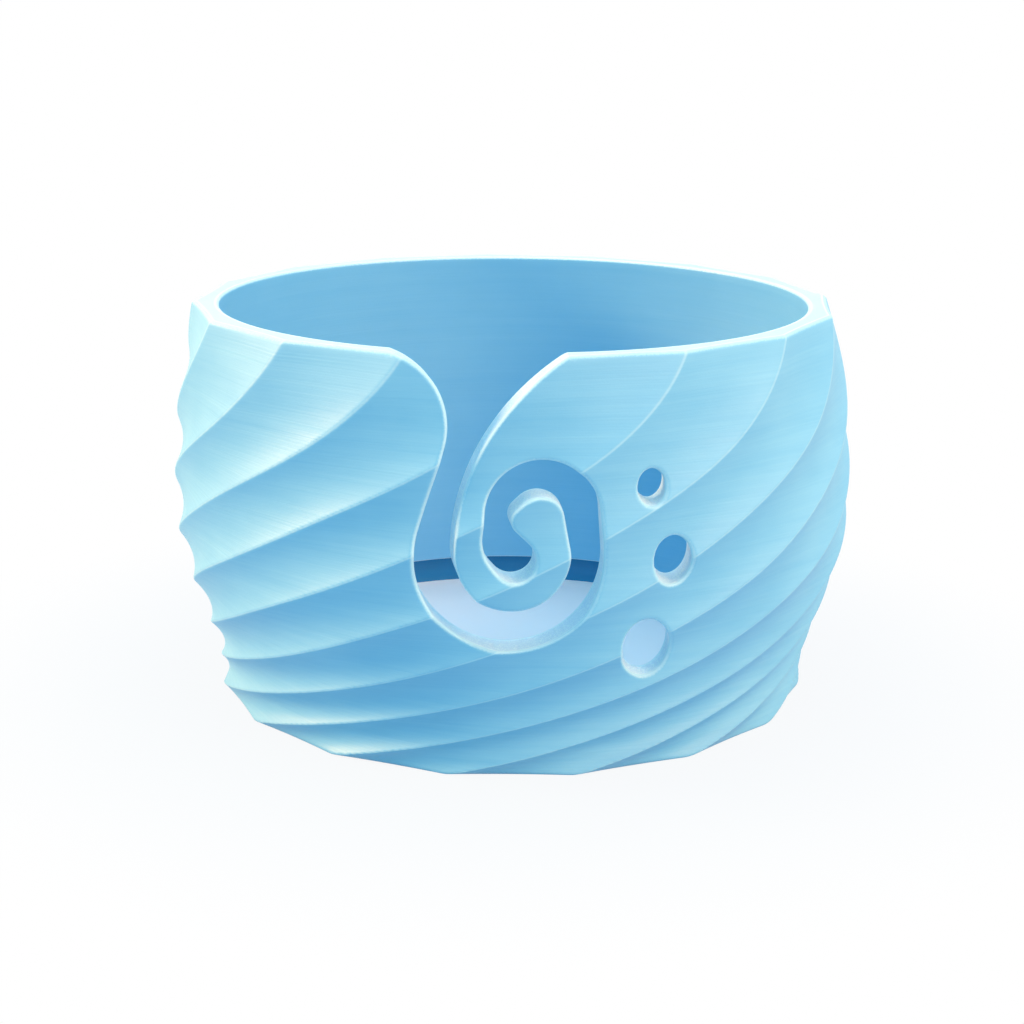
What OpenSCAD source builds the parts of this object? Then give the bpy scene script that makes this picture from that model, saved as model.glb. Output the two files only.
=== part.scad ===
// Yarn bowl in one moulding: a swirled sixteen-sided shell, a flat rim and floor,
// a spiral yarn slot in the front and three needle holes beside it.
// Millimetres, +Z up, origin at the middle of the underside, front towards -Y.

/* [Shell] */
// Height of the bowl
bowl_h = 92; // [86:1:98]
// Radius of the ridges where they meet the underside
base_r = 71.2; // [64:0.2:76]
// Radius of the ridges at the widest height
belly_r = 80.8; // [78:0.2:90]
// Radius of the ridges at the rim
rim_r = 75.4; // [72:0.2:78]
// Height of the upright foot of the shell, below the bulge
foot_h = 5.5; // [3:0.5:8]
// Number of ridges round the shell
ridges = 16; // [12:1:18]
// Wall behind the middle of a flat at the rim, where it is thinnest
rim_wall = 4.7; // [4:0.1:6]
// Wall behind the middle of a flat at the widest height
belly_wall = 7.6; // [5:0.1:9]
// Wall behind the middle of a flat at the foot
foot_wall = 5; // [4:0.1:7]
// Height where the inside is widest
inside_widest_z = 58; // [46:1:70]
// Thickness of the floor
floor_t = 1.6; // [1.2:0.1:4]
// Depth of the hollow between two ridges, beyond a straight flat
scallop = 0.35; // [0.2:0.05:1]
// Rounding of the rim's inner and outer edges
rim_round = 0.9; // [0.4:0.1:1.5]

/* [Swirl of the ridges] */
// Turn of a ridge over the lowest fifth of the height, in degrees
turn_1 = 52; // [20:1:60]
// Turn over the second fifth
turn_2 = 35; // [20:1:50]
// Turn over the third fifth
turn_3 = 28; // [15:1:40]
// Turn over the fourth fifth
turn_4 = 24; // [10:1:35]
// Turn over the highest fifth
turn_5 = 13; // [5:1:25]
// Angle of the first ridge at the rim, from the front towards +X
rim_turn = 0; // [-11:0.5:11]

/* [Band at the foot of the inside wall] */
// Height of the lip above the underside
band_top = 8.3; // [6:0.1:12]
// Depth of the set-back below the lip
band_depth = 1; // [0.5:0.1:2]

/* [Yarn slot] */
// Radius of the tongue's round lower end
tongue_r = 11.9; // [11:0.1:12.5]
// Sideways place of that end's middle
tongue_x = -7.4; // [-9:0.1:-6]
// Height of that end's middle
tongue_z = 51.7; // [50:0.1:54]
// Radius of the long edge that leads down from the rim to the tongue
lead_r = 48.3; // [44:0.1:60]
// Height of the middle of that edge's curve
lead_z = 50.7; // [49:0.1:54]
// Radius of the round shoulder where the long edge meets the rim
shoulder_r = 8; // [4:0.5:12]
// Radius of the round corner on the other side of the slot's mouth
lip_r = 14.5; // [11:0.1:16]
// Narrowest gap between that corner and the long edge
throat = 9.6; // [7:0.1:11]
// Rise of the corner's and the shoulder's circles above the rim, which they meet with a faint edge
corner_rise = 0.5; // [0.1:0.1:1]
// Radius of the slot's outer turn
outer_r = 19.5; // [18.5:0.1:20.5]
// Sideways place of its middle
outer_x = -8; // [-9:0.1:-7]
// Height of its middle
outer_z = 50.4; // [49:0.1:52]
// Radius of the slot's top turn
top_r = 12; // [11.5:0.1:12.5]
// Sideways place of its middle
top_x = -1.2; // [-2:0.1:0]
// Height of its middle
top_z = 59.5; // [58:0.1:60.5]
// Radius of the slot's inner turn, just before the eye
inner_turn_r = 9.6; // [9.2:0.1:9.9]
// Sideways place of its middle
inner_turn_x = -4; // [-4.4:0.1:-3.6]
// Height of its middle
inner_turn_z = 55.1; // [54.6:0.1:55.6]
// Radius of the round eye where the slot ends
eye_r = 4.5; // [4.3:0.1:5]
// Sideways place of its middle
eye_x = -7.1; // [-7.8:0.1:-6.8]
// Height of its middle
eye_z = 50.9; // [50.5:0.1:51.6]
// Radius of the tongue's tip
tip_r = 3.3; // [2.8:0.1:3.8]
// Sideways place of the tip's middle
tip_x = -4.5; // [-4.8:0.1:-4]
// Height of the tip's middle
tip_z = 59.2; // [58.8:0.1:60]
// Radius of the tongue's head, next to the tip
head_r = 5.2; // [4.8:0.1:5.6]
// Sideways place of the head's middle
head_x = -1.9; // [-2.2:0.1:-1.5]
// Height of the head's middle
head_z = 59.1; // [58.6:0.1:59.6]

/* [Needle holes] */
// Width of the small hole
hole_1_w = 6; // [4:0.1:7]
// Height of the small hole
hole_1_h = 7.4; // [5:0.1:9]
// Sideways place of the small hole
hole_1_x = 21.5; // [20:0.1:23]
// Height of the small hole's middle
hole_1_z = 65; // [62:0.1:67]
// Width of the middle hole
hole_2_w = 8.4; // [6:0.1:9]
// Height of the middle hole
hole_2_h = 10.4; // [8:0.1:11]
// Sideways place of the middle hole
hole_2_x = 26.5; // [24:0.1:28]
// Height of the middle hole's middle
hole_2_z = 49.1; // [47:0.1:51]
// Width of the large hole
hole_3_w = 10.7; // [9:0.1:12]
// Height of the large hole
hole_3_h = 13.7; // [11:0.1:15]
// Sideways place of the large hole
hole_3_x = 21.5; // [20:0.1:23]
// Height of the large hole's middle
hole_3_z = 29.6; // [28:0.1:33]

/* [Hidden] */
plastic = [0.60, 0.83, 0.93];
pitch = 360 / ridges;
flat_ratio = cos(pitch / 2);
turns = [turn_1, turn_2, turn_3, turn_4, turn_5];
fifths = len(turns);
belly_z = bowl_h / 2;
// Rings up the height, closer near the underside where the ridges turn fastest
rings = 40;
ring_crowding = 1.45;
// Steps across a flat, round a rim edge, up the inside wall and round an arc
steps = 5;
round_steps = 3;
cavity_steps = 22;
cavity_sides = 144;
arc_step = 9;
oval_step = 10;
// How far a cut runs on beyond the rim
past = 10;

// Ridge radius: upright foot, rounded bulge to the middle height, gentle taper to the rim
bulge_power = 1.5;
taper_power = 2;
function bulge(z) = pow(sin(90 * (z - foot_h) / (belly_z - foot_h)), bulge_power);
function taper(z) = pow((z - belly_z) / (bowl_h - belly_z), taper_power);
function ridge_r(z) =
    z <= foot_h ? base_r :
    z <= belly_z ? base_r + (belly_r - base_r) * bulge(z) :
    belly_r - (belly_r - rim_r) * taper(z);

// Distance from the axis to the middle of a flat
function flat_r(z) = ridge_r(z) * flat_ratio - scallop;

// Radius of the inside, a barrel of its own: foot, widest height and rim, joined by two parabolas
inside_foot_r = flat_r(0) - foot_wall;
inside_belly_r = flat_r(belly_z) - belly_wall;
inside_rim_r = flat_r(bowl_h) - rim_wall;
function parabola(z, from, to, at_from, at_to) = at_to - (at_to - at_from) * pow((to - z) / (to - from), 2);
function inside_r(z) =
    z <= inside_widest_z
        ? parabola(z, band_top, inside_widest_z, inside_foot_r, inside_belly_r)
        : parabola(z, bowl_h, inside_widest_z, inside_rim_r, inside_belly_r);

// Turn of a ridge from the underside up to each fifth, with a smooth curve between the fifths
function sum_to(n) = n == 0 ? 0 : turns[n - 1] + sum_to(n - 1);
function lead_at(n) =
    n == 0 ? 1.5 * turns[0] - 0.5 * turns[1] :
    n == fifths ? 1.5 * turns[n - 1] - 0.5 * turns[n - 2] :
    (turns[n - 1] + turns[n]) / 2;
function curve(a, b, da, db, t) =
    a * (1 + 2 * t) * pow(1 - t, 2) + b * t * t * (3 - 2 * t)
    + da * t * pow(1 - t, 2) - db * t * t * (1 - t);
function turn_at(z) =
    let (u = fifths * min(z, bowl_h) / bowl_h, n = min(floor(u), fifths - 1))
    curve(sum_to(n), sum_to(n + 1), lead_at(n), lead_at(n + 1), u - n);
function ridge_turn(z) = rim_turn - sum_to(fifths) + turn_at(z);

// One ring of the shell: each flat is a straight line between ridges, drawn in by the scallop
function ring(z, drawn_in) = [
    for (i = [0 : ridges - 1], j = [0 : steps - 1])
        let (
            t = j / steps,
            r = ridge_r(z) - drawn_in,
            a = ridge_turn(z) + i * pitch,
            p = (1 - t) * [sin(a), -cos(a)] + t * [sin(a + pitch), -cos(a + pitch)],
            hollow = scallop * 4 * t * (1 - t) / norm(p)
        )
        [p.x * (r - hollow), p.y * (r - hollow), z]
];

// Heights and insets of the rings, ending in a rounded edge at the rim
levels = concat(
    [for (k = [0 : rings]) [(bowl_h - rim_round) * pow(k / rings, ring_crowding), 0]],
    [for (k = [1 : round_steps])
        let (a = 90 * k / round_steps)
        [bowl_h - rim_round * (1 - sin(a)), rim_round * (1 - cos(a))]]
);
around = ridges * steps;
function cell(k, i) = k * around + i % around;

module shell() {
    points = [for (level = levels, p = ring(level[0], level[1])) p];
    sides = [
        for (k = [0 : len(levels) - 2], i = [0 : around - 1], half = [0, 1])
            half == 0
                ? [cell(k, i), cell(k + 1, i), cell(k, i + 1)]
                : [cell(k, i + 1), cell(k + 1, i), cell(k + 1, i + 1)]
    ];
    underside = [for (i = [0 : around - 1]) i];
    top = [for (i = [around - 1 : -1 : 0]) cell(len(levels) - 1, i)];
    polyhedron(points, concat(sides, [underside, top]), convexity = 12);
}

// Hollow inside: floor, set-back band, lip, barrel-shaped wall, rounded rim
band_r = inside_r(band_top) + band_depth;
rim_inner = inside_r(bowl_h - rim_round);
cavity_profile = concat(
    [[0, floor_t], [band_r, floor_t], [band_r, band_top]],
    [for (k = [0 : cavity_steps])
        let (z = band_top + k * (bowl_h - rim_round - band_top) / cavity_steps)
        [inside_r(z), z]],
    [for (k = [1 : round_steps])
        let (a = 90 * k / round_steps)
        [rim_inner + rim_round * (1 - cos(a)), bowl_h - rim_round * (1 - sin(a))]],
    [[rim_inner + rim_round, bowl_h + past], [0, bowl_h + past]]
);

module cavity() {
    rotate_extrude($fn = cavity_sides) polygon(cavity_profile);
}

// Spiral slot: a line drawn taut round a chain of circles, each taken one way (1) or the other (-1)
lead_x = tongue_x + lead_r - tongue_r;
lip_z = bowl_h + corner_rise - lip_r;
lip_x = lead_x - sqrt(pow(lead_r, 2) - pow(lip_z - lead_z, 2)) - throat - lip_r;
shoulder_z = bowl_h + corner_rise - shoulder_r;
shoulder_x = lead_x - sqrt(pow(lead_r - shoulder_r, 2) - pow(shoulder_z - lead_z, 2));
chain = [
    [lip_x, lip_z, lip_r, -1],
    [outer_x, outer_z, outer_r, 1],
    [top_x, top_z, top_r, 1],
    [inner_turn_x, inner_turn_z, inner_turn_r, 1],
    [eye_x, eye_z, eye_r, 1],
    [tip_x, tip_z, tip_r, -1],
    [head_x, head_z, head_r, -1],
    [tongue_x, tongue_z, tongue_r, -1],
    [lead_x, lead_z, lead_r, -1],
    [shoulder_x, shoulder_z, shoulder_r, -1]
];

// Heading of the line that leaves circle a and touches circle b
function heading(a, b) =
    let (
        gap = [b.x - a.x, b.y - a.y],
        lean = (a[3] * a[2] - b[3] * b[2]) / norm(gap)
    )
    atan2(gap.y, gap.x) + asin(max(-1, min(1, lean)));
// Angle in the range from 0 to 360
function wrap(a) = a - 360 * floor(a / 360);
// Points of the arc on circle c between two headings
function arc(c, from, to) =
    let (
        way = c[3],
        sweep = wrap(way * (to - from)),
        count = max(1, ceil(sweep / arc_step))
    )
    [for (k = [0 : count])
        let (a = from + way * (sweep * k / count) - way * 90)
        [c.x + c[2] * cos(a), c.y + c[2] * sin(a)]];

slot_outline =
    let (
        last = len(chain) - 1,
        between = [for (i = [0 : last - 1]) heading(chain[i], chain[i + 1])],
        headings = concat([0], between, [0])
    )
    concat(
        [[lip_x, bowl_h + past]],
        [for (i = [0 : last], p = arc(chain[i], headings[i], headings[i + 1])) p],
        [[shoulder_x, bowl_h + past]]
    );

function oval(x, z, w, h) =
    [for (a = [0 : oval_step : 360 - oval_step]) [x + w / 2 * cos(a), z + h / 2 * sin(a)]];
holes = [
    oval(hole_1_x, hole_1_z, hole_1_w, hole_1_h),
    oval(hole_2_x, hole_2_z, hole_2_w, hole_2_h),
    oval(hole_3_x, hole_3_z, hole_3_w, hole_3_h)
];

// A prism straight through the front wall only
module front_cut(outline) {
    rotate([90, 0, 0])
        translate([0, 0, belly_r / 2])
            linear_extrude(belly_r) polygon(outline);
}

module bowl() {
    color(plastic)
        difference() {
            shell();
            cavity();
            front_cut(slot_outline);
            for (outline = holes) front_cut(outline);
        }
}

bowl();
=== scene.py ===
import math
from collections import namedtuple

import bmesh
import bpy
import numpy as np
from mathutils import Matrix, Vector
from mathutils.geometry import delaunay_2d_cdt


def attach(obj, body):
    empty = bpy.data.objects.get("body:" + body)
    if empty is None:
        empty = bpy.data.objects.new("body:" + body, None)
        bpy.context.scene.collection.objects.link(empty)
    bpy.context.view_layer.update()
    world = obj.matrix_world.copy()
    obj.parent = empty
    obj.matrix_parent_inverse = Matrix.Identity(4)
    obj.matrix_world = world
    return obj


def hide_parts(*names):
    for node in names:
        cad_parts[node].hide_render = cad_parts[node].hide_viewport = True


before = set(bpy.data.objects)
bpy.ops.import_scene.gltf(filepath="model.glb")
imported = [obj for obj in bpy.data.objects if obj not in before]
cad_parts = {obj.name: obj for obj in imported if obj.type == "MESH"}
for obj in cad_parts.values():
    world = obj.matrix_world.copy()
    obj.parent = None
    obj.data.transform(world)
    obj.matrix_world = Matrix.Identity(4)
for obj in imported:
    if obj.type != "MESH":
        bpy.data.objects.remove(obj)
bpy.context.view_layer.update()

Circle = namedtuple("Circle", "x z r")
Hole = namedtuple("Hole", "w h x z")

# Sizes of the bowl in millimetres, as in the CAD
BOWL_H = 92.0             # height
BASE_R = 71.2             # radius of the ridges at the underside
BELLY_R = 80.8            # radius of the ridges at half height, where they are widest
RIM_R = 75.4              # radius of the ridges at the rim
FOOT_H = 5.5              # height of the upright foot
SWELL = 1.5               # how gently the foot turns into the bulge
RIDGES = 16
SCALLOP = 0.35            # hollow of a flat between two ridges
FLOOR_T = 1.6             # thickness of the floor
RIM_WALL = 4.7            # wall behind the middle of a flat at the rim
BELLY_WALL = 7.6          # the same at half height
FOOT_WALL = 5.0           # the same at the foot
INSIDE_WIDEST_Z = 58.0    # height where the inside is widest
TURNS = 52, 35, 28, 24, 13   # turn of a ridge over each fifth of the height, foot first, in degrees
RIM_TURN = 0.0            # azimuth of the first ridge at the rim, in degrees
BAND_TOP = 8.3            # height of the lip over the set-back band inside
BAND_DEPTH = 1.0          # depth of that set-back

# Circles that the slot's outline runs round
OUTER_TURN = Circle(-8.0, 50.4, 19.5)
TOP_TURN = Circle(-1.2, 59.5, 12.0)
INNER_TURN = Circle(-4.0, 55.1, 9.6)
EYE = Circle(-7.1, 50.9, 4.5)
TIP = Circle(-4.5, 59.2, 3.3)
HEAD = Circle(-1.9, 59.1, 5.2)
TONGUE = Circle(-7.4, 51.7, 11.9)
LEAD_R = 48.3             # the long edge that leads down from the rim to the tongue
LEAD_Z = 50.7             # height of the middle of that edge's circle
SHOULDER_R = 8.0          # round shoulder where that edge meets the rim
LIP_R = 14.5              # round corner on the other side of the slot's mouth
THROAT = 9.6              # narrowest gap between that corner and the long edge
CORNER_RISE = 0.5         # rise of the shoulder's and the corner's circles above the rim

HOLES = Hole(6.0, 7.4, 21.5, 65.0), Hole(8.4, 10.4, 26.5, 49.1), Hole(10.7, 13.7, 21.5, 29.6)

# Sizes of the visual mesh in millimetres
ROUND = 0.8               # rounding of every cut edge, of the rim and of the foot
CREST = 1.05              # half width of the soft crest of a ridge
LIP_ROUND = 0.5           # rounding of the lip over the band
FLOOR_BEVEL = 0.25        # small slope where the band meets the floor
COLUMNS = 720             # mesh columns round the bowl
ROW_OUT = 0.55            # height of a mesh row outside
ROW_IN = 2.2              # height of a mesh row inside
FOOT_ROW = 0.45           # height of a mesh row at the foot, where the ridges run most nearly level
SLOT_STEP = 0.5           # distance of the points along the slot
HOLE_STEP = 0.45          # distance of the points round a hole
BEYOND_ROUND = 0.25       # the last line of points beside a cut lies this far past its rounding
CLEAR_OF_ROUND = 0.35     # the regular points start this far past the rounding
CLEAR_OF_FOOT = 0.3       # least distance of the lines beside the cuts from the foot of the cut part
CLEAR_OF_RIM = 0.03       # and from the rim
LINE_SLACK = 0.004        # such a line may come nearer to another cut by this much
LEAST_AREA = 1e-9         # flatter triangles are left out, in square millimetres
ON_LINE = 1e-6            # a point this near to a border line counts as on it
JOIN_WITHIN = 4e-6        # points nearer than this are joined, in metres
LEAST_EDGE = 1e-7         # shorter edges are taken out, in metres
CUT_FOOT_OUT = 18.0       # foot of the cut part of the wall, outside
CUT_FOOT_IN = 14.0        # the same inside
CUT_LEFT = -42            # left side of the cut part, in degrees from the front towards +X
CUT_RIGHT = 34            # its right side
RIM_STEPS_LEFT = 32       # steps along the rim between the cut part's side and the slot's mouth
RIM_STEPS_RIGHT = 60
LOW_ROWS_IN = 9           # rows between the lip and the foot of the cut part, inside
FAR = 5.0                 # distances from an edge are kept up to here
DEPTHS = 0.04, 0.09, 0.17, 0.34, 0.5, 0.66, 0.83, 0.91, 0.96   # lines in a cut, as shares of the wall
FLOOR_RINGS = 60, 52, 42, 30, 16   # radii of the rings of points on the floor

PITCH = 2 * math.pi / RIDGES
HALF_PITCH = PITCH / 2
BELLY_Z = BOWL_H / 2
FIFTHS = len(TURNS)
SUMS = np.concatenate([[0.0], np.cumsum(TURNS)])
SLOPES = np.array([1.5 * TURNS[0] - 0.5 * TURNS[1]]
                  + [(TURNS[i - 1] + TURNS[i]) / 2 for i in range(1, FIFTHS)]
                  + [1.5 * TURNS[-1] - 0.5 * TURNS[-2]])
QUARTER_TURN = np.radians([22.5, 45, 67.5, 90])
ROUND_STEPS = ROUND * (1 - np.cos(QUARTER_TURN))   # distances of the lines of points from an edge


# The form of the shell
def ridge_r(z):
    """Radius of the ridges at height z."""
    z = np.asarray(z, float)
    up = np.clip((z - FOOT_H) / (BELLY_Z - FOOT_H), 0, 1)
    down = np.clip((z - BELLY_Z) / (BOWL_H - BELLY_Z), 0, 1)
    low = BASE_R + (BELLY_R - BASE_R) * np.sin(np.pi / 2 * up) ** SWELL
    high = BELLY_R - (BELLY_R - RIM_R) * down ** 2
    return np.where(z <= BELLY_Z, low, high)


def turn_at(z):
    """Turn of a ridge between the foot and height z, in degrees: a smooth curve through SUMS."""
    u = FIFTHS * np.clip(np.asarray(z, float), 0, BOWL_H) / BOWL_H
    n = np.minimum(u.astype(int), FIFTHS - 1)
    t = u - n
    start, end = SUMS[n], SUMS[n + 1]
    start_slope, end_slope = SLOPES[n], SLOPES[n + 1]
    return (start * (1 + 2 * t) * (1 - t) ** 2 + end * t * t * (3 - 2 * t)
            + start_slope * t * (1 - t) ** 2 - end_slope * t * t * (1 - t))


def ridge_turn(z):
    """Azimuth of the first ridge at height z."""
    return np.radians(RIM_TURN - SUMS[-1] + turn_at(z))


def outer_r(a, z):
    """Radius of the outside at azimuth a: flats between soft ridges, each hollowed a little."""
    r = ridge_r(z)
    past_ridge = np.mod(a - ridge_turn(z), PITCH)
    share = 0.5 + np.tan(past_ridge - HALF_PITCH) / (2 * math.tan(HALF_PITCH))
    flat = r * math.cos(HALF_PITCH) / np.cos(past_ridge - HALF_PITCH) - SCALLOP * 4 * share * (1 - share)
    off = r * np.minimum(past_ridge, PITCH - past_ridge)
    slope = math.tan(HALF_PITCH)
    soft = np.where(off < CREST, slope * (CREST - off) ** 2 / (2 * CREST), 0)
    return flat - soft


def flat_r(z):
    """Radius of the outside in the middle of a flat."""
    return float(ridge_r(z)) * math.cos(HALF_PITCH) - SCALLOP


def inner_r(a, z):
    """Radius of the inside, the same at every azimuth: two parabolas that meet where it is widest."""
    z = np.asarray(z, float)
    foot = flat_r(0) - FOOT_WALL
    widest = flat_r(BELLY_Z) - BELLY_WALL
    rim = flat_r(BOWL_H) - RIM_WALL
    low = widest - (widest - foot) * ((INSIDE_WIDEST_Z - z) / (INSIDE_WIDEST_Z - BAND_TOP)) ** 2
    high = widest - (widest - rim) * ((INSIDE_WIDEST_Z - z) / (INSIDE_WIDEST_Z - BOWL_H)) ** 2
    return np.where(z <= INSIDE_WIDEST_Z, low, high)


def outer_azimuth(x, z, steps=60):
    """Azimuth of the outside's point with this x and height, found step by step."""
    a = np.arcsin(x / ridge_r(z))
    for _ in range(steps):
        a = np.arcsin(np.clip(x / outer_r(a, z), -1, 1))
    return a


def inner_azimuth(x, z):
    return np.arcsin(x / inner_r(0, z))


def drop(d):
    """How far a quarter-round edge lies below its face at distance d from the edge."""
    e = np.clip(ROUND - d, 0, ROUND)
    return ROUND - np.sqrt(ROUND ** 2 - e ** 2)


def rounded_outer_r(a, z):
    return outer_r(a, z) - drop(BOWL_H - z) - drop(z)


def rounded_inner_r(a, z):
    return inner_r(a, z) + drop(BOWL_H - z)


def place(a, r, z):
    """Points at azimuth a, counted from the front towards +X."""
    return np.column_stack([r * np.sin(a), -r * np.cos(a), np.broadcast_to(z, np.shape(a))])


# Outlines of the cuts, in x and z
def circle_chain():
    """The circles that a taut line runs round, each with the way it is passed: 1 or -1."""
    rim_circles_z = BOWL_H + CORNER_RISE
    lead_x = TONGUE.x + LEAD_R - TONGUE.r
    lip_z = rim_circles_z - LIP_R
    lip_x = lead_x - math.sqrt(LEAD_R ** 2 - (lip_z - LEAD_Z) ** 2) - THROAT - LIP_R
    shoulder_z = rim_circles_z - SHOULDER_R
    shoulder_x = lead_x - math.sqrt((LEAD_R - SHOULDER_R) ** 2 - (shoulder_z - LEAD_Z) ** 2)
    return [(Circle(lip_x, lip_z, LIP_R), -1),
            (OUTER_TURN, 1), (TOP_TURN, 1), (INNER_TURN, 1), (EYE, 1),
            (TIP, -1), (HEAD, -1), (TONGUE, -1),
            (Circle(lead_x, LEAD_Z, LEAD_R), -1),
            (Circle(shoulder_x, shoulder_z, SHOULDER_R), -1)]


def tangent_heading(first, second):
    """Heading of the line that leaves one circle and touches the next."""
    (a, way_a), (b, way_b) = first, second
    dx, dz = b.x - a.x, b.z - a.z
    lean = (way_a * a.r - way_b * b.r) / math.hypot(dx, dz)
    return math.atan2(dz, dx) + math.asin(max(-1, min(1, lean)))


def slot_line(arc_step=0.1):
    """The slot's edge from the rim, round the curl and back up to the rim."""
    chain = circle_chain()
    lip, shoulder = chain[0][0], chain[-1][0]
    headings = [-math.acos((BOWL_H - lip.z) / lip.r)]
    headings += [tangent_heading(a, b) for a, b in zip(chain, chain[1:])]
    headings.append(math.acos((BOWL_H - shoulder.z) / shoulder.r))
    dense = []
    for (c, way), start, end in zip(chain, headings, headings[1:]):
        sweep = (way * (end - start)) % (2 * math.pi)
        n = max(2, int(math.ceil(c.r * sweep / arc_step)))
        for k in range(n + 1):
            a = start + way * (sweep * k / n - math.pi / 2)
            dense.append((c.x + c.r * math.cos(a), c.z + c.r * math.sin(a)))
    dense = np.array(dense)
    dense[0, 1] = dense[-1, 1] = BOWL_H
    run = np.concatenate([[0], np.cumsum(np.hypot(*np.diff(dense, axis=0).T))])
    at = np.linspace(0, run[-1], int(round(run[-1] / SLOT_STEP)) + 1)
    return np.column_stack([np.interp(at, run, dense[:, 0]), np.interp(at, run, dense[:, 1])])


def oval(hole):
    """The edge of a needle hole."""
    n = int(math.ceil(math.pi * (hole.w + hole.h) / 2 / HOLE_STEP / 4)) * 4
    a = np.arange(n) * 2 * math.pi / n
    return np.column_stack([hole.x + hole.w / 2 * np.cos(a), hole.z + hole.h / 2 * np.sin(a)])


def sideways(points, closed):
    """Unit normal of a line at each of its points."""
    after = np.roll(points, -1, 0) if closed else np.vstack([points[1:], points[-1:]])
    before = np.roll(points, 1, 0) if closed else np.vstack([points[:1], points[:-1]])
    t = after - before
    t = t / np.hypot(t[:, 0], t[:, 1])[:, None]
    return np.column_stack([-t[:, 1], t[:, 0]])


def distance(points, lines, batch=2000):
    """Least distance of each point from the given open lines."""
    best = np.full(len(points), np.inf)
    for line in lines:
        a, b = line[:-1], line[1:]
        ab = (b - a)[None]
        for s in range(0, len(points), batch):
            p = points[s:s + batch, None, :]
            t = np.clip(((p - a) * ab).sum(2) / (ab ** 2).sum(2), 0, 1)
            d = np.hypot(*np.moveaxis(p - (a + t[..., None] * ab), 2, 0)).min(1)
            best[s:s + batch] = np.minimum(best[s:s + batch], d)
    return best


def inside(points, loop):
    """Which points lie in a closed loop, by the even-odd rule."""
    x, z = points[:, 0], points[:, 1]
    odd = np.zeros(len(points), bool)
    for (x0, z0), (x1, z1) in zip(loop, np.roll(loop, -1, 0)):
        if z0 != z1:
            crossed = (z0 > z) != (z1 > z)
            odd ^= crossed & (x < (x1 - x0) * (z - z0) / (z1 - z0) + x0)
    return odd


SLOT = slot_line()
OVALS = [oval(h) for h in HOLES]
CUT_LINES = [SLOT[::-1]] + [np.vstack([o, o[:1]]) for o in OVALS]


def in_wall(points, loop):
    """Which points lie inside the border of the cut part and outside the holes."""
    kept = inside(points, loop)
    for o in OVALS:
        kept &= ~inside(points, o)
    return kept


def rows(foot, step):
    """Heights of the mesh rows from foot to the rim, close together in the rim's rounding."""
    below = BOWL_H - ROUND
    body = np.linspace(foot, below, int(round((below - foot) / step)) + 1)
    return np.concatenate([body, BOWL_H - ROUND_STEPS[-2::-1], [BOWL_H]])


# Mesh building
OUT, CUT, BAND, FLOOR, RIM, IN = range(6)   # finishes, in the order of FINISHES
ANGLES = np.radians(np.arange(COLUMNS) * 360 / COLUMNS)
PER_DEGREE = COLUMNS // 360
CUT_COLUMNS = np.arange(CUT_LEFT * PER_DEGREE, CUT_RIGHT * PER_DEGREE + 1)
REST_COLUMNS = np.arange(CUT_RIGHT * PER_DEGREE, CUT_LEFT * PER_DEGREE + COLUMNS + 1)
ALL_COLUMNS = np.arange(COLUMNS + 1)

Face = namedtuple("Face", "radius azimuth foot step way mark")
OUTSIDE = Face(outer_r, outer_azimuth, CUT_FOOT_OUT, ROW_OUT, 1, OUT)
INSIDE = Face(inner_r, inner_azimuth, CUT_FOOT_IN, ROW_IN, -1, IN)


class Mesh:
    """Points and faces, with a distance from the nearest sharp edge for each point."""
    def __init__(self):
        self.points, self.nears, self.faces, self.marks = [], [], [], []
        self.count = 0

    def add(self, points, near=FAR):
        points = np.asarray(points, float).reshape(-1, 3)
        self.points.append(points)
        self.nears.append(np.minimum(np.broadcast_to(near, len(points)), FAR))
        self.count += len(points)
        return np.arange(self.count - len(points), self.count)

    def face(self, ids, mark):
        self.faces.append(tuple(int(i) for i in ids))
        self.marks.append(mark)

    def strip(self, low, high, mark, flip=False):
        """Quads between two lines with as many points."""
        for i in range(len(low) - 1):
            quad = low[i], low[i + 1], high[i + 1], high[i]
            self.face(quad[::-1] if flip else quad, mark)

    def sheet(self, radius, heights, columns, mark, flip=False):
        """Rows of quads over the given columns; the points of each row are returned."""
        a = ANGLES[columns % COLUMNS]
        ids = [self.add(place(a, radius(a, np.full_like(a, z)), z), BOWL_H - z) for z in heights]
        for low, high in zip(ids, ids[1:]):
            self.strip(low, high, mark, flip)
        return ids


mesh = Mesh()


def cut_border(face, heights):
    """Azimuth and height along the border of the cut part, before and after the slot, anticlockwise."""
    a = ANGLES[CUT_COLUMNS % COLUMNS]
    a = np.where(a > math.pi, a - 2 * math.pi, a)
    left, right = a[0], a[-1]
    slot_left, slot_right = face.azimuth(SLOT[[0, -1], 0], SLOT[[0, -1], 1])
    rim_left = np.linspace(left, slot_left, RIM_STEPS_LEFT + 1)
    rim_right = np.linspace(slot_right, right, RIM_STEPS_RIGHT + 1)
    side = heights[1:-1]
    before = [(b, face.foot) for b in a] + [(right, z) for z in side]
    before += [(b, BOWL_H) for b in rim_right[::-1]]
    after = [(b, BOWL_H) for b in rim_left[::-1]] + [(left, z) for z in side[::-1]]
    return np.array(before), np.array(after), a


def in_x_and_z(face, a, z):
    return np.column_stack([face.radius(a, z) * np.sin(a), z])


def lines_beside_cuts(loop, foot_line):
    """Points in lines that follow each cut through its rounding."""
    found = []
    for points, closed in [(CUT_LINES[0], False)] + [(o, True) for o in OVALS]:
        normal = sideways(points, closed)
        for way in (1, -1):
            for d in list(ROUND_STEPS) + [ROUND + BEYOND_ROUND]:
                q = points + way * d * normal
                kept = (distance(q, CUT_LINES) > d - LINE_SLACK) & (q[:, 1] < BOWL_H - CLEAR_OF_RIM)
                kept &= in_wall(q, loop) & (distance(q, [foot_line]) > CLEAR_OF_FOOT)
                found.append(q[kept])
    return np.vstack(found)


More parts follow.
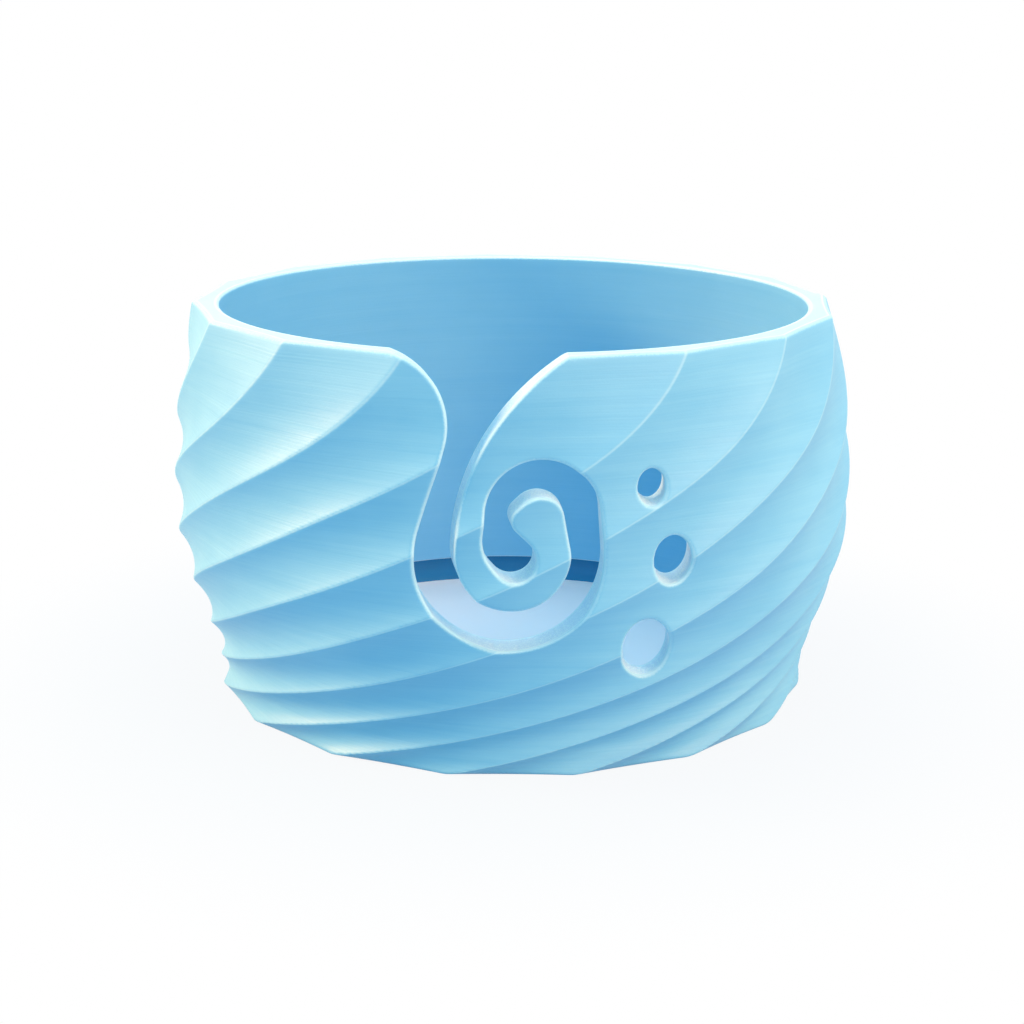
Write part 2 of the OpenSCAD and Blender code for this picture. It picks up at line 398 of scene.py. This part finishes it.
def regular_points(face, heights, a, loop):
    """Points in rows and columns, away from the cuts."""
    points = np.vstack([in_x_and_z(face, a[1:-1], np.full(len(a) - 2, z)) for z in heights[1:-1]])
    return points[(distance(points, CUT_LINES) > ROUND + CLEAR_OF_ROUND) & in_wall(points, loop)]


def triangles_between(loops, free):
    """Triangles between closed loops and free points, the points, and the given points behind each."""
    edges, at = [], 0
    for loop in loops:
        n = len(loop)
        edges += [(at + i, at + (i + 1) % n) for i in range(n)]
        at += n
    given = [Vector(p) for p in np.vstack(loops + free)]
    out, _, faces, origin, _, _ = delaunay_2d_cdt(given, edges, [], 0, ON_LINE, True)
    points = np.array([tuple(v) for v in out])
    faces = np.array([f for f in faces if len(f) == 3])
    return points, faces[in_wall(points[faces].mean(1), loops[0])], origin


def edge_distance(points, loop):
    """Distance of each point from the nearest cut or from the rim."""
    far_left, far_right = loop[:, 0].min() - FAR, loop[:, 0].max() + FAR
    rim_left = np.array([[far_left, BOWL_H], [SLOT[0, 0], BOWL_H]])
    rim_right = np.array([[SLOT[-1, 0], BOWL_H], [far_right, BOWL_H]])
    return distance(points, CUT_LINES + [rim_left, rim_right])


def cut_wall(face):
    """The cut part of one face of the wall; returns its points along the slot, the rim and the holes."""
    heights = rows(face.foot, face.step)
    before, after, a = cut_border(face, heights)
    slot = SLOT[::-1][1:-1]
    loop = np.vstack([in_x_and_z(face, *before.T), slot, in_x_and_z(face, *after.T)])
    slot_start, slot_end = len(before), len(before) + len(slot)
    free = [lines_beside_cuts(loop, loop[:len(a)]), regular_points(face, heights, a, loop)]
    points, faces, origin = triangles_between([loop] + OVALS, free)

    # the border's azimuths and heights are known, the others are worked out
    given_at = {given: i for i, sources in enumerate(origin) for given in sources}
    d = edge_distance(points, loop)
    azimuth = face.azimuth(points[:, 0], np.clip(points[:, 1], 0, BOWL_H))
    for first, part in ((0, before), (slot_end, after)):
        for k, (known_a, known_z) in enumerate(part):
            azimuth[given_at[first + k]] = known_a
            points[given_at[first + k], 1] = known_z
    r = face.radius(azimuth, points[:, 1]) - face.way * drop(d)
    ids = mesh.add(place(azimuth, r, points[:, 1]), d)

    e, f = points[faces[:, 1]] - points[faces[:, 0]], points[faces[:, 2]] - points[faces[:, 0]]
    for corners, area in zip(faces, e[:, 0] * f[:, 1] - e[:, 1] * f[:, 0]):
        if abs(area) > LEAST_AREA:
            mesh.face(ids[corners if area * face.way > 0 else corners[::-1]], face.mark)

    def given(start, stop):
        return [ids[given_at[i]] for i in range(start, stop)]

    holes, at = [], len(loop)
    for o in OVALS:
        holes.append(given(at, at + len(o)))
        at += len(o)
    return (given(slot_start - 1, slot_end + 1), given(slot_end, slot_end + RIM_STEPS_LEFT + 1),
            given(slot_start - 1 - RIM_STEPS_RIGHT, slot_start), holes)


def wall_between(outer_ids, inner_ids, closed=False, flip=False, mark=RIM):
    """The face between a line outside and a line inside, with more points close to both edges."""
    points = np.vstack(mesh.points)
    outer, inner = points[outer_ids], points[inner_ids]
    thickness = np.linalg.norm(inner - outer, axis=1)
    ids = [list(outer_ids)]
    for share in DEPTHS:
        ids.append(list(mesh.add(outer + (inner - outer) * share, thickness * min(share, 1 - share))))
    ids.append(list(inner_ids))
    for low, high in zip(ids, ids[1:]):
        if closed:
            low, high = low + low[:1], high + high[:1]
        mesh.strip(low, high, mark, flip)


def build_foot_and_underside():
    """The lowest rows outside, close together in the rounding, and the flat underside."""
    count = int((CUT_FOOT_OUT - ROUND) / FOOT_ROW)
    heights = np.concatenate([[0], ROUND_STEPS, np.linspace(ROUND, CUT_FOOT_OUT, count)[1:]])
    foot = mesh.sheet(rounded_outer_r, heights, ALL_COLUMNS, OUT)
    mesh.face(foot[0][:-1][::-1], IN)


def build_wall():
    """Both faces of the wall, the cuts through it and the top of the rim."""
    outer = mesh.sheet(rounded_outer_r, rows(CUT_FOOT_OUT, ROW_OUT), REST_COLUMNS, OUT)
    outer_slot, outer_left, outer_right, outer_holes = cut_wall(OUTSIDE)
    inner = mesh.sheet(rounded_inner_r, rows(CUT_FOOT_IN, ROW_IN), REST_COLUMNS, IN, True)
    inner_slot, inner_left, inner_right, inner_holes = cut_wall(INSIDE)
    wall_between(outer_slot, inner_slot, flip=True, mark=CUT)
    for outer_hole, inner_hole in zip(outer_holes, inner_holes):
        wall_between(outer_hole, inner_hole, closed=True, mark=CUT)
    wall_between(outer[-1], inner[-1])
    wall_between(outer_left[::-1], inner_left[::-1])
    wall_between(outer_right[::-1], inner_right[::-1])


def build_inside_foot():
    """Inside below the cut part: the wall down to the lip, the set-back band in painted shade and the
    floor in painted light.
    """
    heights = np.linspace(BAND_TOP + LIP_ROUND, CUT_FOOT_IN, LOW_ROWS_IN)
    last = mesh.sheet(rounded_inner_r, heights, ALL_COLUMNS, IN, True)[0]
    lip_r = float(inner_r(0, BAND_TOP))
    band_r = lip_r + BAND_DEPTH
    profile = [(lip_r + LIP_ROUND * (1 - math.cos(t)), BAND_TOP + LIP_ROUND * (1 - math.sin(t)), IN)
               for t in QUARTER_TURN]
    # the band's faces take the dark finish: painted shade under the lip
    profile += [(band_r, BAND_TOP, BAND), (band_r, FLOOR_T + FLOOR_BEVEL, BAND)]
    # the floor takes the near-white finish: painted light
    profile += [(band_r - FLOOR_BEVEL, FLOOR_T, FLOOR)]
    profile += [(r, FLOOR_T, FLOOR) for r in FLOOR_RINGS]
    a = ANGLES[ALL_COLUMNS % COLUMNS]
    for r, z, mark in profile:
        ids = mesh.add(place(a, np.full_like(a, r), z), abs(r - lip_r) + abs(z - BAND_TOP))
        mesh.strip(ids, last, mark, True)
        last = ids
    mesh.face(last[:-1], FLOOR)


def mesh_data(name):
    """The mesh in metres, with points in the same place joined."""
    data = bpy.data.meshes.new(name)
    data.from_pydata([tuple(p) for p in np.vstack(mesh.points) / 1000], [], mesh.faces)
    data.polygons.foreach_set("material_index", mesh.marks)
    data.attributes.new("near", "FLOAT", "POINT").data.foreach_set("value", np.concatenate(mesh.nears))
    bm = bmesh.new()
    bm.from_mesh(data)
    bmesh.ops.remove_doubles(bm, verts=bm.verts, dist=JOIN_WITHIN)
    bmesh.ops.dissolve_degenerate(bm, dist=LEAST_EDGE, edges=bm.edges)
    open_edges = sum(1 for e in bm.edges if len(e.link_faces) != 2)
    print("bowl mesh:", len(bm.verts), "points,", len(bm.faces), "faces,", open_edges,
          "edges not between two faces,", round(bm.calc_volume(signed=True) * 1e9), "mm3")
    bm.to_mesh(data)
    bm.free()
    data.update()
    for p in data.polygons:
        p.use_smooth = True
    return data


def read(source, name, kind, width=1):
    """One value, or a row of values, for each item of a part of the mesh."""
    values = np.empty(len(source) * width, kind)
    source.foreach_get(name, values)
    return values if width == 1 else values.reshape(-1, width)


def add_ridge_data(data, step=0.02, clear=0.1):
    """Gives each face corner its place across the flats, and the outside its exact normals.

    The normals are worked out from the form a small step away on all sides, so that the ridges shade
    crisply. Points within an edge's rounding, or just clear of it, keep the mesh's own normals.
    """
    corner_vertex = read(data.loops, "vertex_index", int)
    first_corner = read(data.polygons, "loop_start", int)
    corner_count = np.diff(np.append(first_corner, len(corner_vertex)))
    xyz = read(data.vertices, "co", float, 3) * 1000
    a, z = np.arctan2(xyz[:, 0], -xyz[:, 1]), xyz[:, 2]

    # how many flats lie between the first ridge and each corner, without a jump inside a face
    corner_a = a[corner_vertex]
    first = np.repeat(corner_a[first_corner], corner_count)
    corner_a = first + np.mod(corner_a - first + math.pi, 2 * math.pi) - math.pi
    phase = (corner_a - ridge_turn(z[corner_vertex])) / PITCH
    data.attributes.new("phase", "FLOAT", "CORNER").data.foreach_set("value", phase)

    mark = np.repeat(read(data.polygons, "material_index", int), corner_count)
    plain = (read(data.attributes["near"].data, "value", float) > ROUND + clear) & (z > ROUND + clear)
    plain[corner_vertex[mark != OUT]] = False
    turn = step / ridge_r(z)
    across = place(a + turn, outer_r(a + turn, z), z) - place(a - turn, outer_r(a - turn, z), z)
    up = place(a, outer_r(a, z + step), z + step) - place(a, outer_r(a, z - step), z - step)
    normal = np.cross(across, up)
    normal /= np.linalg.norm(normal, axis=1)[:, None]
    normal[~plain] = 0
    data.normals_split_custom_set_from_vertices(normal.tolist())


build_foot_and_underside()
build_wall()
build_inside_foot()
bowl_data = mesh_data("bowl_shell")
add_ridge_data(bowl_data)
scene = bpy.context.scene
bowl = bpy.data.objects.new("bowl_shell", bowl_data)
scene.collection.objects.link(bowl)
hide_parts("bowl")
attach(bowl, "root")


# Node trees
def linear(rgb):
    """A colour of 0 to 255 as linear values with full alpha."""
    shares = [c / 255 for c in rgb]
    return tuple(c / 12.92 if c <= 0.04045 else ((c + 0.055) / 1.055) ** 2.4 for c in shares) + (1,)


class Nodes:
    """Short calls for the nodes of a material or a world."""
    def __init__(self, owner):
        owner.use_nodes = True
        self.tree = owner.node_tree
        self.tree.nodes.clear()

    def new(self, kind):
        return self.tree.nodes.new("ShaderNode" + kind)

    def join(self, value, socket):
        if isinstance(value, (int, float, tuple)):
            socket.default_value = value
        else:
            self.tree.links.new(value, socket)

    def output(self, kind, shader):
        self.join(shader, self.new("Output" + kind).inputs[0])

    def place_stretched(self, stretch):
        """Place on the object, times the stretch along each axis."""
        n = self.new("Mapping")
        n.inputs["Scale"].default_value = stretch
        self.join(self.new("TexCoord").outputs["Object"], n.inputs["Vector"])
        return n.outputs[0]

    def noise(self, kind):
        n = self.new("TexNoise")
        n.inputs["Scale"].default_value = kind.scale
        n.inputs["Detail"].default_value = kind.detail
        n.inputs["Roughness"].default_value = kind.roughness
        self.join(self.place_stretched(kind.stretch), n.inputs["Vector"])
        return n.outputs["Fac"]

    def remap(self, value, low, high, to_low, to_high, smooth=False):
        n = self.new("MapRange")
        if smooth:
            n.interpolation_type = "SMOOTHSTEP"
        for i, x in enumerate((value, low, high, to_low, to_high)):
            self.join(x, n.inputs[i])
        return n.outputs[0]

    def math(self, kind, a, b=0.0):
        n = self.new("Math")
        n.operation = kind
        self.join(a, n.inputs[0])
        self.join(b, n.inputs[1])
        return n.outputs[0]

    def mix(self, fac, a, b):
        n = self.new("Mix")
        n.data_type = "RGBA"
        for value, i in ((fac, 0), (a, 6), (b, 7)):
            self.join(value, n.inputs[i])
        return n.outputs[2]

    def mix_shaders(self, fac, a, b):
        n = self.new("MixShader")
        for value, socket in zip((fac, a, b), n.inputs):
            self.join(value, socket)
        return n.outputs[0]

    def colored(self, kind, color, strength=None):
        """A shader of this kind in a linear colour."""
        n = self.new(kind)
        n.inputs["Color"].default_value = color + (1,)
        if strength is not None:
            n.inputs["Strength"].default_value = strength
        return n.outputs[0]

    def value(self, name):
        """A value that the mesh holds under this name."""
        n = self.new("Attribute")
        n.attribute_name = name
        return n.outputs["Fac"]

    def direct_or_mirrored(self):
        """1 for rays from the camera and those that are mirrored or let through, 0 for all others."""
        path = self.new("LightPath").outputs
        seen = self.math("MAXIMUM", path["Is Camera Ray"], path["Is Glossy Ray"])
        return self.math("MAXIMUM", seen, path["Is Transmission Ray"])


# Plastic in fine level layers
# pale colour of the speckle, and of the painted highlight lines along edges and ridge crests
PALE = linear((226, 242, 247))
EDGE_HIGHLIGHT_FULL = 0.35     # the painted highlight line along an edge is full up to this distance, in millimetres
EDGE_HIGHLIGHT_END = 0.95      # and ends here
RAGGED = 0.5              # how far the grain moves both, also in millimetres
RIDGE_HIGHLIGHT = 0.022        # half width of the painted highlight line on a ridge's crest, as a share of a flat
DOT_GRAIN = 0.5, 0.62     # pale dots begin at the first value of the grain and are full at the second
DOT_CLOUDS = 0.35, 0.6    # between these values of the mottling they rise
DOT_SHARE = 0.5, 1.0      # from the first of these strengths to the second
RELIEF = 0.28             # strength of the fine relief
RELIEF_DEPTH = 0.00012    # its depth in metres
RELIEF_GRAIN = 0.35       # how much the grain counts in it beside the layers
DOT_RELIEF = 0.3          # what a full speckle adds to its strength
DOT_DEPTH = 0.0001        # and to its depth
ROUGH_NOISE = 0.7, 1.3    # usual range of the noise that changes the roughness
ROUGH_CHANGE = -0.06, 0.08   # and the change at both ends
SPECULAR = 0.6
SUBSURFACE = 0.08         # share of the light that scatters inside the plastic
SUBSURFACE_RADIUS = (0.6, 0.9, 1.0)   # how far it gets in red, green and blue
SUBSURFACE_SCALE = 0.002  # times this, in metres

Noise = namedtuple("Noise", "stretch scale detail roughness")
LAYERS = Noise((12, 12, 2600), 1.0, 3.0, 0.6)   # level layers of about 0.4 mm
BANDS = Noise((5, 5, 420), 1.0, 2.0, 0.5)       # slow drift from layer to layer
STREAKS = Noise((60, 60, 900), 1.0, 4.0, 0.6)   # short level streaks
CLOUDS = Noise((1, 1, 1), 28.0, 3.0, 0.55)      # broad mottling
GRAIN = Noise((1, 1, 1), 2400.0, 2.0, 0.6)      # fine grain
NOISE_LOW = 0.3           # most of a noise's values lie between these
NOISE_HIGH = 0.7
CLOUD_TINT = 0.45         # how far each noise moves the colour from the darker to the paler one
BAND_TINT = 0.2
STREAK_TINT = 0.2
LAYER_TINT = 0.15

# Finishes in the order of OUT, CUT, BAND, FLOOR, RIM and IN: colours, roughness, strength of the painted
# highlight line along the edges, of the pale speckle and of the painted highlight line on the ridge
# crests
Finish = namedtuple("Finish", "name low high rough edges speckle ridges",
                    defaults=(0.5, 0.8, 0.0, 0.0))
FINISHES = (
    Finish("bowl_plastic", (120, 185, 221), (154, 205, 231), edges=0.55, ridges=0.3),
    # cut faces paler than the plastic: painted light, with real speckle from the grain
    Finish("bowl_cut_faces_painted_light", (190, 214, 236), (214, 230, 244), rough=0.55, speckle=1.0),
    # dark band under the lip: painted shade of the recess, far darker than the plastic
    Finish("bowl_band_painted_shade", (18, 121, 172), (26, 136, 186), edges=0.3),
    # near-white inner floor: painted light where light from above falls on the same blue plastic
    Finish("bowl_floor_painted_light", (250, 236, 241), (252, 240, 244), edges=0.0),
    # rim top paler than the plastic: painted light on the upward face, with real speckle
    Finish("bowl_rim_painted_light", (182, 210, 227), (199, 221, 235), rough=0.55, speckle=0.3),
    # inside a little darker than the outside plastic: painted shade, and no ridge lines
    Finish("bowl_inside_painted_shade", (116, 184, 224), (132, 194, 229)),
)


def plastic_color(m, finish, clouds, bands, layers, grain):
    """Colour between the finish's two, mottled, and with painted highlight lines along the edges and the
    ridge crests.
    """
    tint = m.remap(clouds, NOISE_LOW, NOISE_HIGH, 0.0, CLOUD_TINT)
    streaks = m.noise(STREAKS)
    for noise, share in ((bands, BAND_TINT), (streaks, STREAK_TINT), (layers, LAYER_TINT)):
        tint = m.math("ADD", tint, m.remap(noise, NOISE_LOW, NOISE_HIGH, 0.0, share))
    color = m.mix(tint, linear(finish.low), linear(finish.high))
    if finish.speckle:
        dots = m.remap(grain, *DOT_GRAIN, 0.0, 1.0, True)
        dots = m.math("MULTIPLY", dots, m.remap(clouds, *DOT_CLOUDS, *DOT_SHARE))
        color = m.mix(m.math("MULTIPLY", dots, finish.speckle), color, PALE)
    ragged = m.math("ADD", m.value("near"), m.math("MULTIPLY", grain, RAGGED))
    # painted highlight: a pale line along each edge, frayed by the grain
    color = m.mix(m.remap(ragged, EDGE_HIGHLIGHT_FULL, EDGE_HIGHLIGHT_END, finish.edges, 0.0, True), color, PALE)
    # painted highlight: a thin pale line along each ridge's crest
    if finish.ridges:
        off = m.math("PINGPONG", m.value("phase"), 0.5)
        line = m.remap(m.math("ABSOLUTE", off), 0.0, RIDGE_HIGHLIGHT, finish.ridges, 0.0, True)
        color = m.mix(line, color, PALE)
    return color


def plastic(finish):
    """Satin plastic, with the layers and the grain as colour, roughness and fine relief."""
    material = bpy.data.materials.new(finish.name)
    m = Nodes(material)
    layers = m.noise(LAYERS)
    bands = m.noise(BANDS)
    clouds = m.noise(CLOUDS)
    grain = m.noise(GRAIN)

    relief = m.new("Bump")
    relief.inputs["Strength"].default_value = RELIEF + DOT_RELIEF * finish.speckle
    relief.inputs["Distance"].default_value = RELIEF_DEPTH + DOT_DEPTH * finish.speckle
    height = m.math("ADD", layers, m.math("MULTIPLY", grain, RELIEF_GRAIN + finish.speckle))
    m.join(height, relief.inputs["Height"])

    shader = m.new("BsdfPrincipled")
    m.join(plastic_color(m, finish, clouds, bands, layers, grain), shader.inputs["Base Color"])
    rough = [finish.rough + change for change in ROUGH_CHANGE]
    m.join(m.remap(m.math("ADD", bands, grain), *ROUGH_NOISE, *rough), shader.inputs["Roughness"])
    m.join(relief.outputs[0], shader.inputs["Normal"])
    shader.inputs["Specular IOR Level"].default_value = SPECULAR
    shader.inputs["Subsurface Weight"].default_value = SUBSURFACE
    shader.inputs["Subsurface Radius"].default_value = SUBSURFACE_RADIUS
    shader.inputs["Subsurface Scale"].default_value = SUBSURFACE_SCALE
    m.output("Material", shader.outputs[0])
    return material


for finish in FINISHES:
    bowl_data.materials.append(plastic(finish))

# Floor and surroundings
FLOOR_COLOR = (0.22, 0.42, 0.62)
FLOOR_RADIUS = 4.0
FLOOR_SIDES = 96
FLOOR_GAP = 0.0001        # the floor lies this far under the bowl
SHADOW_EDGE = 0.07, 0.16  # the shadow fades between these distances from the middle, in metres
SHADOW_WHITE = 0.92       # white share of the floor at the bowl
SKY_COLOR = (0.23, 0.79, 1.0)
SKY_STRENGTH = 0.91
WHITE = (1.0, 1.0, 1.0)


def make_floor():
    """A pale floor that keeps a faint shadow round the bowl and is white farther out."""
    floor_data = bpy.data.meshes.new("floor")
    bm = bmesh.new()
    bmesh.ops.create_circle(bm, cap_ends=True, segments=FLOOR_SIDES, radius=FLOOR_RADIUS)
    bm.to_mesh(floor_data)
    bm.free()
    floor = bpy.data.objects.new("floor", floor_data)
    floor.location.z = -FLOOR_GAP
    scene.collection.objects.link(floor)

    material = bpy.data.materials.new("floor")
    m = Nodes(material)
    length = m.new("VectorMath")
    length.operation = "LENGTH"
    m.join(m.new("NewGeometry").outputs["Position"], length.inputs[0])
    white_share = m.remap(length.outputs["Value"], *SHADOW_EDGE, SHADOW_WHITE, 1.0, True)
    white_share = m.math("MULTIPLY", white_share, m.direct_or_mirrored())
    lit = m.colored("BsdfDiffuse", FLOOR_COLOR)
    m.output("Material", m.mix_shaders(white_share, lit, m.colored("Emission", WHITE, 1.0)))
    floor_data.materials.append(material)


def make_surroundings():
    """White to look at, and a soft bluish light on the bowl."""
    world = bpy.data.worlds.new("studio")
    scene.world = world
    m = Nodes(world)
    lit = m.colored("Background", SKY_COLOR, SKY_STRENGTH)
    seen = m.colored("Background", WHITE, 1.0)
    m.output("World", m.mix_shaders(m.direct_or_mirrored(), lit, seen))


make_floor()
make_surroundings()

# Lamps and camera, in the camera's frame: its heading is +Y, lengths in metres, angles in radians
CAMERA_TURN = math.radians(-5.5)   # the camera looks at the cuts from the left
CAMERA_PLACE = (0, -0.44704, 0.16374)
CAMERA_TILT = 0.27153     # how far the camera looks down
CAMERA_ROLL = 0.007375
FOCAL_PIXELS = 1900
PICTURE_PIXELS = 1024
SENSOR_WIDTH = 36
CLIP = 0.01, 20           # nothing nearer or farther is drawn
AIM = (0, 0, 0.05)        # the lamps point here

Lamp = namedtuple("Lamp", "name place size power color")
LAMPS = (
    Lamp("key", (-0.98, 0.10, 0.50), 0.35, 15.5, (1.0, 0.60, 0.24)),
    Lamp("fill", (0.74, -0.58, 0.66), 0.8, 12.0, (1.0, 0.60, 0.26)),
    Lamp("top", (0.1, 0.1, 1.1), 0.8, 4.5, (0.8, 0.92, 1.0)),
)


def in_bowl_frame(p):
    """A place that is given in the camera's frame."""
    return Matrix.Rotation(CAMERA_TURN, 3, "Z") @ Vector(p)


def make_lamp(lamp):
    light = bpy.data.lights.new(lamp.name, "AREA")
    light.shape = "RECTANGLE"
    light.size = light.size_y = lamp.size
    light.energy = lamp.power
    light.color = lamp.color
    holder = bpy.data.objects.new(lamp.name, light)
    place_at, aim_at = in_bowl_frame(lamp.place), in_bowl_frame(AIM)
    holder.location = place_at
    holder.rotation_euler = (aim_at - place_at).to_track_quat("-Z", "Y").to_euler()
    scene.collection.objects.link(holder)


def make_camera():
    camera_data = bpy.data.cameras.new("camera")
    camera_data.sensor_width = SENSOR_WIDTH
    camera_data.sensor_fit = "HORIZONTAL"
    camera_data.lens = FOCAL_PIXELS * SENSOR_WIDTH / PICTURE_PIXELS
    camera_data.clip_start, camera_data.clip_end = CLIP
    camera = bpy.data.objects.new("camera", camera_data)
    scene.collection.objects.link(camera)
    turn = Matrix.Rotation(CAMERA_TURN, 4, "Z")
    tilt = Matrix.Rotation(math.pi / 2 - CAMERA_TILT, 4, "X")
    roll = Matrix.Rotation(CAMERA_ROLL, 4, "Z")
    camera.matrix_world = turn @ Matrix.Translation(CAMERA_PLACE) @ tilt @ roll
    scene.camera = camera


for lamp in LAMPS:
    make_lamp(lamp)
make_camera()
scene.view_settings.view_transform = "Standard"
